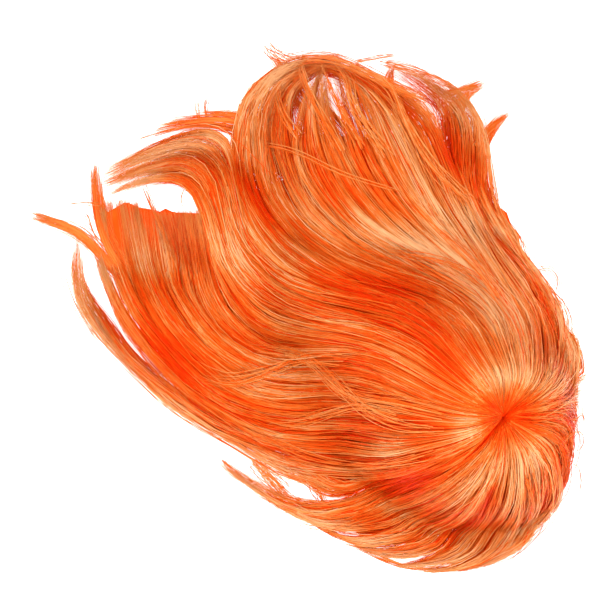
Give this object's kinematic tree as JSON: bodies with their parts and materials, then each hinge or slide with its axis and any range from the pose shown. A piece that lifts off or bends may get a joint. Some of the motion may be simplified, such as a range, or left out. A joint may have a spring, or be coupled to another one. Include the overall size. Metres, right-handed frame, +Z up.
{
  "type": "bob wig",
  "caption": "Short bob wig of straight orange fibre sewn to an elastic net cap, lying rim down with its hair swept off to one side in lobes with curled ends.",
  "frame": {"origin": "on the table, below the middle of the whole wig's box", "axes": "+Z up from the table; +X towards the cap and away from the hair's ends; +Y towards the top of the upper lobe"},
  "size_m": [0.3909, 0.3658, 0.1039],
  "materials": {
    "hair": "silky dyed synthetic fibre",
    "under_hair": "silky dyed synthetic fibre",
    "cap_net": "matt elastic net"
  },
  "bodies": {
    "root": {"cap": "cap_net", "nape_upper": "under_hair", "nape_lower": "under_hair", "fringe": "hair", "upper_edge": "hair", "upper_curl": "hair", "back_wave": "hair", "lower_sweep": "hair", "face_lock": "hair"}
  },
  "joints": []
}
